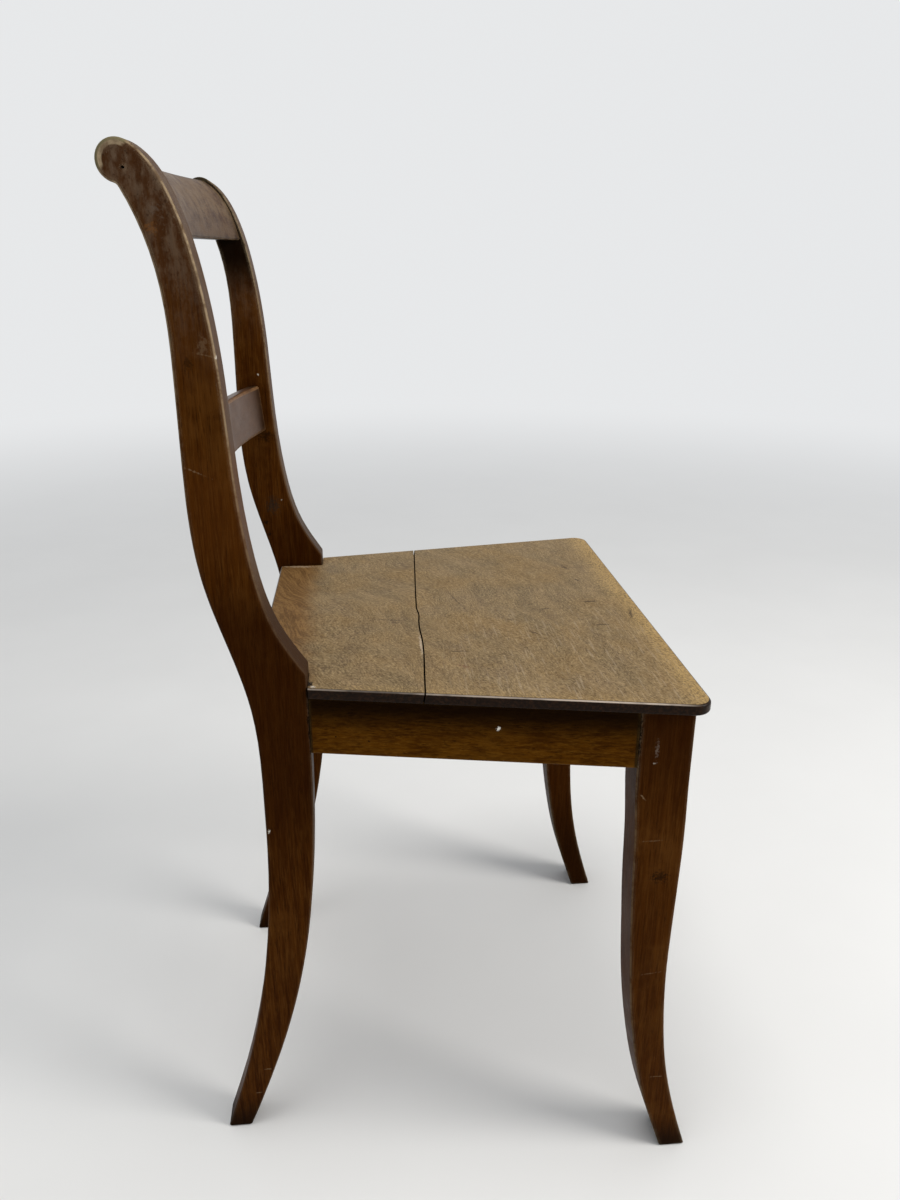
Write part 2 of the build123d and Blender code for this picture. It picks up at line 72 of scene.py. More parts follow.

# Tones of the seat, with a painted highlight on the upper corner of its edge
dry_dark = (0.148, 0.101, 0.048)
dry_light = (0.210, 0.141, 0.067)
dry_orange = (0.225, 0.140, 0.056)
smudge = (0.105, 0.072, 0.050)
dark_vein = (0.062, 0.038, 0.021)
pale_fibre = (0.275, 0.198, 0.106)
dark_fibre = (0.080, 0.052, 0.029)
pale_speckle = (0.380, 0.278, 0.145)
dark_speckle = (0.045, 0.027, 0.014)
dark_grit = (0.055, 0.034, 0.019)
dent = (0.040, 0.024, 0.013)
fine_scratch = (0.330, 0.255, 0.165)
polish_dark = (0.112, 0.058, 0.020)
polish_light = (0.205, 0.112, 0.040)
polish_speckle = (0.060, 0.026, 0.008)
golden_rim = (0.400, 0.262, 0.098)
raw_dark = (0.085, 0.048, 0.024)
raw_light = (0.150, 0.088, 0.044)
edge_dark = (0.008, 0.0035, 0.0015)
edge_light = (0.024, 0.0100, 0.0040)
corner_highlight_tone = (0.480, 0.400, 0.325)

# Tones of marks, dirt and painted shade
white = (0.62, 0.58, 0.50)
scratch = (0.22, 0.15, 0.085)
knot = (0.006, 0.003, 0.0015)
# The next two tones paint shade; the first also darkens the dirty feet
black_shade_and_dirt = (0.0035, 0.0015, 0.0006)
deep_shade = (0.015, 0.0034, 0.0004)
dash = (0.045, 0.027, 0.015)
pale_dash = (0.42, 0.34, 0.25)
# Dirt with painted shade, laid into joints and narrow gaps
joint_dirt_and_shade = (0.005, 0.003, 0.0015)
seat_dirt_and_shade = (0.006, 0.0035, 0.002)


class Graph:
    """A node tree, with a short call for each kind of node."""

    def __init__(self, tree):
        self.tree = tree
        tree.nodes.clear()

    def add(self, kind, inputs=None, **settings):
        node = self.tree.nodes.new(kind)
        for key, value in settings.items():
            setattr(node, key, value)
        for key, value in (inputs or {}).items():
            socket = node.inputs[key]
            if isinstance(value, bpy.types.NodeSocket):
                self.tree.links.new(value, socket)
            elif socket.type == "RGBA":
                socket.default_value = (*value, 1)
            else:
                socket.default_value = value
        return node

    def math(self, operation, first, second=0.0):
        return self.add("ShaderNodeMath", {0: first, 1: second}, operation=operation).outputs[0]

    def product(self, first, *others):
        for other in others:
            first = self.math("MULTIPLY", first, other)
        return first

    def axes(self, vector):
        return self.add("ShaderNodeSeparateXYZ", {0: vector}).outputs

    def vector(self, operation, first, second=(0, 0, 0)):
        node = self.add("ShaderNodeVectorMath", {0: first, 1: second}, operation=operation)
        return node.outputs["Value" if operation in ("LENGTH", "DOT_PRODUCT") else "Vector"]

    def mix(self, share, first, second):
        inputs = {0: share, 6: first, 7: second}
        return self.add("ShaderNodeMix", inputs, data_type="RGBA").outputs[2]

    def step(self, value, low, high, first=0.0, last=1.0):
        """Smooth step: first up to low, last from high on."""
        inputs = {"Value": value, "From Min": low, "From Max": high, "To Min": first, "To Max": last}
        return self.add("ShaderNodeMapRange", inputs, interpolation_type="SMOOTHSTEP").outputs[0]

    def band(self, value, start_in, full_in, full_out, end_out):
        """1 from full_in to full_out, fading to 0 on both sides."""
        return self.product(self.step(value, start_in, full_in), self.step(value, full_out, end_out, 1, 0))

    def layer(self, colour, value, low, high, amount, tone):
        """Covers a colour with a tone, more and more as a value goes from low to high."""
        return self.mix(self.step(value, low, high, 0, amount), colour, tone)

    def noise(self, place, scale, detail=2.0, roughness=0.5, distortion=0.0):
        inputs = {"Vector": place, "Scale": scale, "Detail": detail, "Roughness": roughness}
        inputs["Distortion"] = distortion
        return self.add("ShaderNodeTexNoise", inputs).outputs["Fac"]

    def place(self, point, location=(0, 0, 0), rotation=(0, 0, 0), scale=(1, 1, 1), kind="POINT"):
        inputs = {"Vector": point, "Location": location, "Scale": scale}
        inputs["Rotation"] = [math.radians(angle) for angle in rotation]
        return self.add("ShaderNodeMapping", inputs, vector_type=kind).outputs[0]

    def stretched(self, point, along, share, seed):
        """Place for a texture that is drawn out along the grain."""
        return self.place(point, seed, scale=[share if axis == along else 1 for axis in "XYZ"])

    def spot(self, point, centre, size, rotation):
        """1 in the middle of a small ragged ellipsoid at a place on the object, 0 outside."""
        local = self.place(point, centre, rotation, size, "TEXTURE")
        ragged = self.step(self.noise(point, 500, 3, 0.65), 0.3, 0.7, -0.55, 0.55)
        return self.step(self.math("ADD", self.vector("LENGTH", local), ragged), 0.15, 1.05, 1, 0)

    def normal(self):
        return self.add("ShaderNodeNewGeometry").outputs["Normal"]


def normal_part(graph, axis):
    """Size of the surface normal along an axis, from 0 to 1."""
    return graph.math("ABSOLUTE", graph.axes(graph.normal())[axis])


def facing(graph, axis, sign):
    """How far the surface faces along an axis: 1 straight towards it, 0 when turned away."""
    return graph.step(graph.product(graph.axes(graph.normal())[axis], sign), 0.2, 0.7)


def rounded_edges(graph, axis, reach):
    """1 on the rounded edges of a bar whose flat sides face along the axis, fading out beside them."""
    on_round = graph.band(normal_part(graph, axis), 0.10, 0.40, 0.80, 0.98)
    bevel = graph.add("ShaderNodeBevel", {"Radius": reach}, samples=6).outputs[0]
    beside = graph.step(graph.vector("DOT_PRODUCT", bevel, graph.normal()), 0.80, 0.985, 1, 0)
    return graph.math("MAXIMUM", on_round, beside)


def recess(graph, reach):
    """0 in the open, towards 1 in joints and narrow gaps."""
    open_share = graph.add("ShaderNodeAmbientOcclusion", {"Distance": reach}, samples=6).outputs["AO"]
    return graph.math("SUBTRACT", 1, open_share)


def start(name):
    material = bpy.data.materials.new(name)
    material.use_nodes = True
    graph = Graph(material.node_tree)
    point = graph.add("ShaderNodeTexCoord").outputs["Object"]
    return material, graph, point


def finish_material(graph, colour, roughness, height, depth, specular=0.5, tint=(1, 1, 1), metallic=0.0):
    bump = graph.add("ShaderNodeBump", {"Strength": 1.0, "Distance": depth, "Height": height})
    inputs = {
        "Base Color": colour,
        "Metallic": metallic,
        "Roughness": roughness,
        "Specular IOR Level": specular,
        "Specular Tint": tint,
        "Normal": bump.outputs[0],
    }
    surface = graph.add("ShaderNodeBsdfPrincipled", inputs)
    graph.add("ShaderNodeOutputMaterial", {"Surface": surface.outputs[0]})


def add_marks(graph, point, colour, marks):
    for centre, size, rotation, tone, strength in marks:
        share = graph.product(graph.spot(point, centre, size, rotation), strength)
        colour = graph.mix(share, colour, tone)
    return colour


def add_shades(graph, axes, colour, shades):
    for axis, reach, tone, amount, side in shades:
        share = graph.product(graph.band(axes[axis], *reach), amount)
        if side:
            share = graph.product(share, facing(graph, "X", side))
        colour = graph.mix(share, colour, tone)
    return colour


def frame_grain(graph, point, along, seed):
    """Noises that the frame's wood is made of, drawn out along its grain or even all round."""
    even = graph.place(point, seed)
    return {
        "figure": graph.noise(graph.stretched(point, along, 0.16, seed), 60, 3, 0.6, 0.5),
        "streaks": graph.noise(graph.stretched(point, along, 0.035, seed), 260, 3, 0.6),
        "fibre": graph.noise(graph.stretched(point, along, 0.05, seed), 700, 3, 0.7),
        "pores": graph.noise(graph.stretched(point, along, 0.09, seed), 900, 2, 0.5),
        "mottle": graph.noise(graph.stretched(point, along, 0.5, seed), 110, 4, 0.7),
        "patches": graph.noise(even, 14, 4, 0.65),
        "ragged": graph.noise(even, 90, 4, 0.7),
    }


def stained_wood(graph, grain, tones, figured):
    dark, middle, light, _ = tones
    pore_tone = [0.3 * part for part in dark]
    streaked = graph.step(grain["streaks"], 0.34, 0.66, 0.5 - 0.5 * figured, 0.5 + 0.5 * figured)
    colour = graph.mix(streaked, dark, middle)
    colour = graph.layer(colour, grain["fibre"], 0.42, 0.72, 0.70 * figured, light)
    colour = graph.layer(colour, grain["figure"], 0.50, 0.74, 0.65 * figured, dark)
    colour = graph.layer(colour, grain["patches"], 0.50, 0.72, 0.45, light)
    colour = graph.layer(colour, grain["mottle"], 0.52, 0.72, 0.55 * figured, dark)
    return graph.layer(colour, grain["pores"], 0.58, 0.70, 0.55 * figured, pore_tone)


def dulled_post(graph, point, axes, grain, seed, colour):
    """The top of a post is dull and scuffed, and its side towards the sitter has a paler brown of painted
    sheen.
    """
    scuffs = graph.noise(graph.place(point, seed), 330, 4, 0.75)
    dull = graph.mix(graph.step(grain["mottle"], 0.40, 0.62), dull_dark, dull_light)
    dull = graph.layer(dull, scuffs, 0.58, 0.72, 0.60, pale_scuff)
    dull = graph.layer(dull, scuffs, 0.44, 0.34, 0.60, dark_scuff)
    patchy = graph.step(grain["patches"], 0.30, 0.60, 0.45, 0.95)
    colour = graph.mix(graph.product(graph.step(axes["Z"], *dull_height), patchy), colour, dull)
    # Painted sheen: paler brown on the faces towards the sitter
    share = graph.product(facing(graph, "Y", -1), graph.step(axes["Z"], *sitter_sheen_height, 0.75, 0.45))
    return graph.mix(share, colour, sitter_side_sheen)


def worn_scroll(graph, point, axes, grain, rubbed, colour):
    """Round the scroll the rubbed line lies inside a rim of painted sheen; lower down the edges are hardly
    rubbed.
    """
    rubbed = graph.product(rubbed, graph.step(axes["Z"], *rubbed_height, 0.06, 0.85))
    along, height = scroll_middle
    scroll = graph.place(point, (0, -along, -height), scale=(0, 1, 1))
    radius = graph.vector("LENGTH", scroll)
    upper = graph.step(graph.vector("DOT_PRODUCT", scroll, scroll_up), *scroll_upper_half)
    inside = graph.band(radius, *scroll_rubbed_ring)
    inside = graph.product(inside, graph.step(grain["ragged"], 0.34, 0.58, 0.35, 0.95))
    below = graph.product(rubbed, graph.math("SUBTRACT", 1, upper))
    rubbed = graph.math("ADD", below, graph.product(inside, upper))
    outer = graph.step(graph.math("ABSOLUTE", axes["X"]), *outer_side, 0.15, 1)
    # Painted sheen on the scroll's outer rim
    rim = graph.product(graph.band(radius, *scroll_sheen_ring), upper, outer)
    return rubbed, graph.mix(rim, colour, scroll_rim_sheen)


def frame_wood(
    name, along, tones, seed, edge_axis, marks=(), shades=(), wear=1.0, figured=1.0, aged=False, polish=0.015
):
    """Stained and waxed hardwood of the frame; the posts are aged, with dull tops and rubbed scrolls."""
    material, graph, point = start(name)
    axes = graph.axes(point)
    grain = frame_grain(graph, point, along, seed)
    colour = stained_wood(graph, grain, tones, figured)
    if aged:
        colour = dulled_post(graph, point, axes, grain, seed, colour)
    # Painted shade, dirt and tint over stretches of the piece
    colour = add_shades(graph, axes, colour, shades)
    rubbed = graph.step(grain["ragged"], 0.30, 0.60, 0.15, 1)
    rubbed = graph.product(rubbed, rounded_edges(graph, edge_axis, 0.006))
    if aged:
        rubbed, colour = worn_scroll(graph, point, axes, grain, rubbed, colour)
    colour = graph.mix(graph.product(rubbed, wear), colour, tones[-1])
    # Painted shade with dirt in joints and narrow gaps
    colour = graph.layer(colour, recess(graph, 0.012), 0.25, 0.75, 0.9, joint_dirt_and_shade)
    colour = add_marks(graph, point, colour, marks)
    roughness = graph.step(grain["patches"], 0.3, 0.7, 0.34, 0.48)
    height = graph.math("ADD", graph.product(grain["fibre"], 0.7), graph.product(grain["pores"], -0.5))
    finish_material(graph, colour, roughness, height, 0.00025, polish, wax_tint)
    return material


def seat_grain(graph, point, seed):
    """Noises that the seat's wood is made of; its grain waves a little and runs at a slant."""
    even = graph.place(point, seed)
    bend = graph.product(graph.noise(even, 8, 2, 0.5), 0.07)
    shift = graph.add("ShaderNodeCombineXYZ", {"Y": bend}).outputs[0]
    wavy = graph.place(graph.vector("ADD", point, shift), rotation=(0, 0, -20))
    return {
        "figure": graph.noise(graph.stretched(wavy, "X", 0.30, seed), 40, 4, 0.6, 0.6),
        "lines": graph.noise(graph.stretched(wavy, "X", 0.35, seed), 50, 2, 0.5, 1.2),
        "speckle": graph.noise(graph.stretched(wavy, "X", 0.42, seed), 760, 2, 0.75),
        "fibre": graph.noise(graph.stretched(wavy, "X", 0.10, seed), 420, 3, 0.65),
        "grit": graph.noise(even, 900, 2, 0.6),
        "patches": graph.noise(even, 13, 4, 0.6),
        "smudges": graph.noise(graph.place(point, (3.1, 1.7, 0.4)), 26, 4, 0.6),
        "dents": graph.noise(graph.stretched(point, "Y", 0.16, seed), 130, 2, 0.4),
        "scratches": graph.noise(graph.place(point, seed, (0, 0, -24), (0.05, 1, 1)), 620, 2, 0.5),
    }


def dry_wood(graph, grain):
    """Colour of the seat's worn top before its dents and rims."""
    colour = graph.mix(graph.step(grain["figure"], 0.36, 0.64), dry_dark, dry_light)
    colour = graph.layer(colour, grain["patches"], 0.44, 0.68, 0.55, dry_orange)
    colour = graph.layer(colour, grain["smudges"], 0.52, 0.74, 0.32, smudge)
    vein = graph.math("ABSOLUTE", graph.math("SUBTRACT", grain["lines"], 0.5))
    vein = graph.product(graph.step(vein, 0.0, 0.012, 0.40, 0), graph.step(grain["smudges"], 0.40, 0.52))
    colour = graph.mix(vein, colour, dark_vein)
    colour = graph.layer(colour, grain["fibre"], 0.50, 0.70, 0.40, pale_fibre)
    colour = graph.layer(colour, grain["fibre"], 0.48, 0.32, 0.30, dark_fibre)
    colour = graph.layer(colour, grain["speckle"], 0.50, 0.66, 0.48, pale_speckle)
    colour = graph.layer(colour, grain["speckle"], 0.50, 0.34, 0.52, dark_speckle)
    return graph.layer(colour, grain["grit"], 0.62, 0.72, 0.55, dark_grit)


def used_top(graph, axes, grain, colour):
    """Dents across the seat, and fine slanted scratches over its near front half."""
    colour = graph.layer(colour, grain["dents"], 0.72, 0.76, 0.80, dent)
    reach = graph.step(axes["Y"], *scratches_along)
    reach = graph.product(reach, graph.step(axes["X"], *scratches_across, 0.15, 1))
    scratches = graph.product(graph.step(grain["scratches"], 0.58, 0.68, 0, 0.45), reach)
    return graph.mix(scratches, colour, fine_scratch)


def polished_tongue(graph, axes, grain, colour):
    """Behind the line of the posts the plank keeps its old orange polish."""
    ragged = graph.math("ADD", axes["Y"], graph.product(grain["patches"], 0.04))
    polished = graph.mix(graph.step(grain["fibre"], 0.35, 0.65), polish_dark, polish_light)
    polished = graph.layer(polished, grain["speckle"], 0.50, 0.36, 0.55, polish_speckle)
    return graph.mix(graph.step(ragged, *polish_along), colour, polished)


def golden_rims(graph, axes, grain, front, colour):
    """Rubbed golden wood along the front and the near side of the seat."""
    half = graph.math("SUBTRACT", seat_front_half, graph.product(front, seat_taper))
    side = graph.math("SUBTRACT", half, graph.math("ABSOLUTE", axes["X"]))
    ragged = graph.product(graph.math("SUBTRACT", grain["patches"], 0.5), 0.040)
    near_front = graph.step(graph.math("ADD", front, ragged), *front_rim_depth, 1, 0)
    near_side = graph.step(graph.math("ADD", side, ragged), *side_rim_depth, 0.28, 0)
    near_side = graph.product(near_side, graph.step(axes["X"], *side_rim_across, 1, 0.2))
    rim = graph.math("MAXIMUM", near_front, near_side)
    rim = graph.product(rim, graph.step(grain["speckle"], 0.38, 0.60, 0.20, 1))
    rim = graph.product(rim, graph.step(axes["Y"], *rim_along, 0.85, 0))
    return graph.mix(rim, colour, golden_rim)


def painted_corner_highlight(graph, axes, grain, front, upright):
    """1 where the upper corner of the seat's edge gets a painted highlight, most of all near the front."""
    corner = graph.band(upright, 0.48, 0.64, 0.82, 0.92)
    corner = graph.product(corner, graph.step(axes["Z"], *corner_height))
    corner = graph.product(corner, graph.step(front, *corner_depth))
    corner = graph.product(corner, graph.step(axes["Y"], *corner_along, 1, 0.40))
    return graph.product(corner, graph.step(grain["patches"], 0.36, 0.56, 0.30, 1))


def seat_wood(name, seed, marks):
    """Seat plank: dry and worn on top, dark and polished on its edges, raw below."""
    material, graph, point = start(name)
    axes = graph.axes(point)
    grain = seat_grain(graph, point, seed)
    front = graph.math("SUBTRACT", axes["Y"], seat_front)
    upright = normal_part(graph, "Z")
    flank = graph.step(upright, 0.90, 0.97, 1, 0)
    raw = graph.mix(graph.step(grain["fibre"], 0.35, 0.65), raw_dark, raw_light)
    edge = graph.mix(graph.step(grain["fibre"], 0.4, 0.7), edge_dark, edge_light)
    colour = dry_wood(graph, grain)
    colour = used_top(graph, axes, grain, colour)
    colour = polished_tongue(graph, axes, grain, colour)
    colour = golden_rims(graph, axes, grain, front, colour)
    colour = add_marks(graph, point, colour, marks)
    colour = graph.mix(facing(graph, "Z", -1), colour, raw)
    colour = graph.mix(flank, colour, edge)
    # Painted highlight along the upper corner of the seat's edge
    colour = graph.mix(painted_corner_highlight(graph, axes, grain, front, upright), colour, corner_highlight_tone)
    # Painted shade with dirt in joints and gaps
    colour = graph.layer(colour, recess(graph, 0.008), 0.35, 0.85, 0.95, seat_dirt_and_shade)
    roughness = graph.step(grain["patches"], 0.3, 0.7, 0.50, 0.62)
    roughness = graph.math("SUBTRACT", roughness, graph.product(flank, 0.24))
    height = graph.math("ADD", graph.product(grain["speckle"], 0.9), graph.product(grain["fibre"], 0.5))
    finish_material(graph, colour, roughness, height, 0.00014, 0.08)
    return material


def bare_wood(name, along, seed):
    """Blocks under the seat: unstained softwood, gone brown with age."""
    material, graph, point = start(name)
    rings = graph.noise(graph.stretched(point, along, 0.06, seed), 120, 3, 0.5, 0.4)
    fibre = graph.noise(graph.stretched(point, along, 0.04, seed), 700, 3, 0.6)
    colour = graph.mix(graph.step(rings, 0.35, 0.65), (0.230, 0.130, 0.058), (0.380, 0.240, 0.118))
    colour = graph.layer(colour, fibre, 0.5, 0.8, 0.5, (0.160, 0.090, 0.042))
    # Painted shade with dirt in joints and gaps
    colour = graph.layer(colour, recess(graph, 0.012), 0.3, 0.8, 0.7, (0.020, 0.012, 0.007))
    finish_material(graph, colour, graph.step(fibre, 0.3, 0.7, 0.65, 0.8), fibre, 0.0003, 0.3)
    return material


def crack_shade_wood(name):
    """Walls of the crack: raw wood, painted very dark as the shade inside the crack."""
    material, graph, point = start(name)
    fibre = graph.noise(point, 900, 3, 0.6)
    colour = graph.mix(fibre, (0.0015, 0.001, 0.0006), (0.005, 0.003, 0.0018))
    finish_material(graph, colour, graph.step(fibre, 0.3, 0.7, 0.8, 0.95), fibre, 0.0002, 0.0)
    return material


def old_steel(name):
    """Screws: dull steel with brown spots."""
    material, graph, point = start(name)
    rust = graph.noise(point, 900, 4, 0.7)
    fine = graph.noise(point, 4000, 2, 0.5)
    colour = graph.mix(graph.step(rust, 0.45, 0.65), (0.28, 0.26, 0.24), (0.12, 0.055, 0.025))
    roughness = graph.step(rust, 0.4, 0.7, 0.35, 0.7)
    finish_material(graph, colour, roughness, fine, 0.0001, metallic=graph.step(rust, 0.45, 0.65, 1, 0.2))
    return material


# Marks of use, with spots of painted shade: middle, half sizes, turn in degrees, tone, strength
post_marks = [
    ((-0.1718, 0.1576, 0.7288), (0.004, 0.0036, 0.0075), (12, 0, 0), scratch, 0.22),
    ((-0.1716, 0.1494, 0.7211), (0.004, 0.0012, 0.0016), (0, 0, 0), white, 0.9),
    ((-0.1715, 0.1687, 0.7176), (0.004, 0.0040, 0.0060), (0, 0, 0), knot, 0.45),
    ((-0.1715, 0.1560, 0.7225), (0.004, 0.0085, 0.0006), (12, 0, 0), scratch, 0.20),
    ((-0.1695, 0.1700, 0.6424), (0.004, 0.0098, 0.0008), (25, 0, 0), scratch, 0.38),
    ((-0.1615, 0.1398, 0.3371), (0.006, 0.0014, 0.0026), (0, 0, 0), white, 0.9),
    ((-0.1546, 0.1582, 0.0712), (0.004, 0.0042, 0.0008), (0, 0, 0), scratch, 0.5),
    ((-0.1538, 0.1688, 0.0420), (0.004, 0.0030, 0.0008), (0, 0, 0), scratch, 0.5),
    ((-0.1736, 0.1829, 0.8017), (0.004, 0.0045, 0.0045), (0, 0, 0), (0.16, 0.060, 0.012), 0.45),
    ((-0.1736, 0.1800, 0.8131), (0.004, 0.0040, 0.0040), (0, 0, 0), (0.14, 0.110, 0.085), 0.30),
    # Painted shade with dirt in the joint where the rail meets the post
    ((-0.1640, 0.1016, 0.4350), (0.012, 0.0020, 0.0290), (0, 0, 0), black_shade_and_dirt, 0.9),
    # Painted shade in the nail hole
    ((-0.1735, 0.1960, 0.8369), (0.008, 0.0017, 0.0017), (0, 0, 0), black_shade_and_dirt, 1.0),
]
leg_marks = [
    ((-0.2095, -0.1678, 0.4270), (0.004, 0.0016, 0.0085), (0, 0, 0), (0.16, 0.125, 0.10), 0.50),
    ((-0.2095, -0.1673, 0.4150), (0.004, 0.0016, 0.0009), (0, 0, 0), white, 0.6),
    ((-0.2095, -0.1599, 0.3843), (0.004, 0.0010, 0.0034), (-35, 0, 0), scratch, 0.6),
    ((-0.2095, -0.1710, 0.3428), (0.004, 0.0105, 0.0007), (0, 0, 0), scratch, 0.25),
    ((-0.2095, -0.1803, 0.3071), (0.006, 0.0085, 0.0065), (0, 0, 0), knot, 0.7),
    ((-0.2095, -0.1800, 0.2070), (0.004, 0.0120, 0.0007), (-6, 0, 0), scratch, 0.25),
    ((-0.2095, -0.1960, 0.0879), (0.004, 0.0090, 0.0007), (0, 0, 0), scratch, 0.35),
    # Painted shade with dirt in the joint where the rail meets the leg
    ((-0.2080, -0.1532, 0.4350), (0.008, 0.0020, 0.0290), (0, 0, 0), black_shade_and_dirt, 0.9),
]
rail_marks = [
    ((-0.1886, -0.0462, 0.4398), (0.006, 0.0022, 0.0018), (0, 0, 0), (0.75, 0.72, 0.66), 1.0),
    ((-0.1661, 0.0814, 0.4264), (0.006, 0.0012, 0.0010), (0, 0, 0), knot, 1.0),
    ((-0.1707, 0.0554, 0.4233), (0.006, 0.0013, 0.0013), (0, 0, 0), knot, 1.0),
]
far_post_marks = [
    ((0.1410, 0.1502, 0.5374), (0.008, 0.0090, 0.0110), (0, 0, 0), (0.022, 0.016, 0.011), 0.7),
    # Painted shadow under the cross rail
    ((0.1425, 0.1536, 0.6112), (0.008, 0.0100, 0.0080), (0, 0, 0), black_shade_and_dirt, 0.7),
    ((0.1440, 0.1570, 0.6727), (0.008, 0.0011, 0.0013), (0, 0, 0), white, 0.8),
    ((0.1403, 0.1588, 0.5194), (0.006, 0.0035, 0.0035), (0, 0, 0), knot, 0.8),
    ((0.1399, 0.1559, 0.5061), (0.006, 0.0025, 0.0025), (0, 0, 0), knot, 0.8),
    ((0.1409, 0.1410, 0.5429), (0.004, 0.0010, 0.0012), (0, 0, 0), white, 0.8),
]
# On the seat: the pale arris, the small hole by the near post with a painted glint beside it, a pale line
# under the far post, pits and dashes
seat_marks = [
    ((-0.0890, 0.0080, seat_top), (0.0270, 0.0016, 0.004), (0, 0, 0), pale_dash, 0.8),
    ((-0.1590, 0.1000, seat_top), (0.0065, 0.0034, 0.004), (0, 0, 0), black_shade_and_dirt, 1.0),
    # Painted glint beside the hole
    ((-0.1640, 0.0976, seat_top), (0.0022, 0.0024, 0.004), (0, 0, 0), white, 0.7),
    ((0.1345, 0.1240, seat_top), (0.0022, 0.0230, 0.004), (0, 0, -5), pale_dash, 0.7),
    ((-0.0117, -0.1140, seat_top), (0.0020, 0.0085, 0.004), (0, 0, 8), dash, 0.8),
    ((-0.0693, -0.0945, seat_top), (0.0020, 0.0080, 0.004), (0, 0, -52), dash, 0.8),
    ((0.1090, -0.1600, seat_top), (0.0080, 0.0035, 0.004), (0, 0, 20), dash, 0.8),
    ((0.0676, -0.1643, seat_top), (0.0060, 0.0026, 0.004), (0, 0, 20), dash, 0.8),
    ((-0.0297, -0.1940, seat_top), (0.0180, 0.0020, 0.004), (0, 0, -12), dash, 0.8),
    ((0.0180, -0.0330, seat_top), (0.0450, 0.0012, 0.004), (0, 0, 14), dash, 0.6),
    ((-0.0285, 0.0340, seat_top), (0.0016, 0.0220, 0.004), (0, 0, -16), dash, 0.6),
    ((-0.1365, -0.0250, seat_top), (0.0020, 0.0085, 0.004), (0, 0, -40), (0.13, 0.055, 0.03), 0.7),
    ((-0.0904, 0.0692, seat_top), (0.0200, 0.0100, 0.004), (0, 0, 20), dash, 0.35),
]

# Shaded and tinted stretches, painted shade for the most part and dirt at the feet: axis, where they start,
# are full, begin to fade and end, tone, strength, side or 0
no_start = (-9.5, -9.0)
no_end = (9.0, 9.5)
dirty_foot = ("Z", (*no_start, 0.004, 0.045), black_shade_and_dirt, 0.80, 0)
post_shades = [
    # Painted shade over the middle of the post
    ("Z", (0.27, 0.38, 0.52, 0.57), deep_shade, 0.65, 0),
    ("Z", (0.56, 0.60, 0.63, 0.67), (0.085, 0.026, 0.004), 0.30, 0),
    dirty_foot,
]
far_post_shades = [
    # Painted shade over the middle of the post, then the crest's painted shadow on its inner face
    ("Z", (0.27, 0.38, 0.50, 0.55), deep_shade, 0.45, 0),
    ("Z", (0.735, 0.785, *no_end), black_shade_and_dirt, 0.96, -1),
    dirty_foot,
]
# Painted shade at the top of the leg, under the seat
leg_shades = [("Z", (0.34, 0.44, *no_end), deep_shade, 0.60, 0), dirty_foot]
far_leg_shades = [
    # Painted shade over the whole leg, heavier towards the foot
    ("Z", (*no_start, *no_end), deep_shade, 0.45, 0),
    ("Z", (*no_start, 0.05, 0.17), black_shade_and_dirt, 0.50, 0),
]
# Painted shadow under the seat's overhang
seat_overhang_shadow = ("Z", (0.424, 0.454, *no_end), black_shade_and_dirt, 0.92, 0)
# Painted shade with dirt in the rails' end joints
front_joint_shade_and_dirt = ("Y", (*no_start, -0.1522, -0.1505), black_shade_and_dirt, 0.95, 0)
rear_joint_shade_and_dirt = ("Y", (0.0992, 0.1008, *no_end), black_shade_and_dirt, 0.95, 0)
cross_shades = [
    # Painted shade at the far end and along the lower edge
    ("X", (0.105, 0.145, *no_end), black_shade_and_dirt, 0.75, 0),
    ("Z", (*no_start, 0.6165, 0.6195), black_shade_and_dirt, 0.7, 0),
]
crest_shades = [
    # Painted shade at the far end and along the lower edge
    ("X", (0.130, 0.148, *no_end), black_shade_and_dirt, 0.6, 0),
    ("Z", (*no_start, 0.8005, 0.8040), black_shade_and_dirt, 0.5, 0),
]

# What pieces of one kind share
post = {"along": "Z", "tones": brown, "edge_axis": "X", "figured": 0.8, "aged": True}
leg = {"along": "Z", "tones": brown, "edge_axis": "X", "figured": 0.6}
seat_rail = {"tones": rail_brown, "edge_axis": "Z", "wear": 0.2}
side_rail = {"along": "Y", "shades": [seat_overhang_shadow, front_joint_shade_and_dirt, rear_joint_shade_and_dirt], **seat_rail}
end_rail = {"along": "X", "shades": [seat_overhang_shadow], **seat_rail}
back_rail = {"along": "X", "edge_axis": "Z", "wear": 0.5}

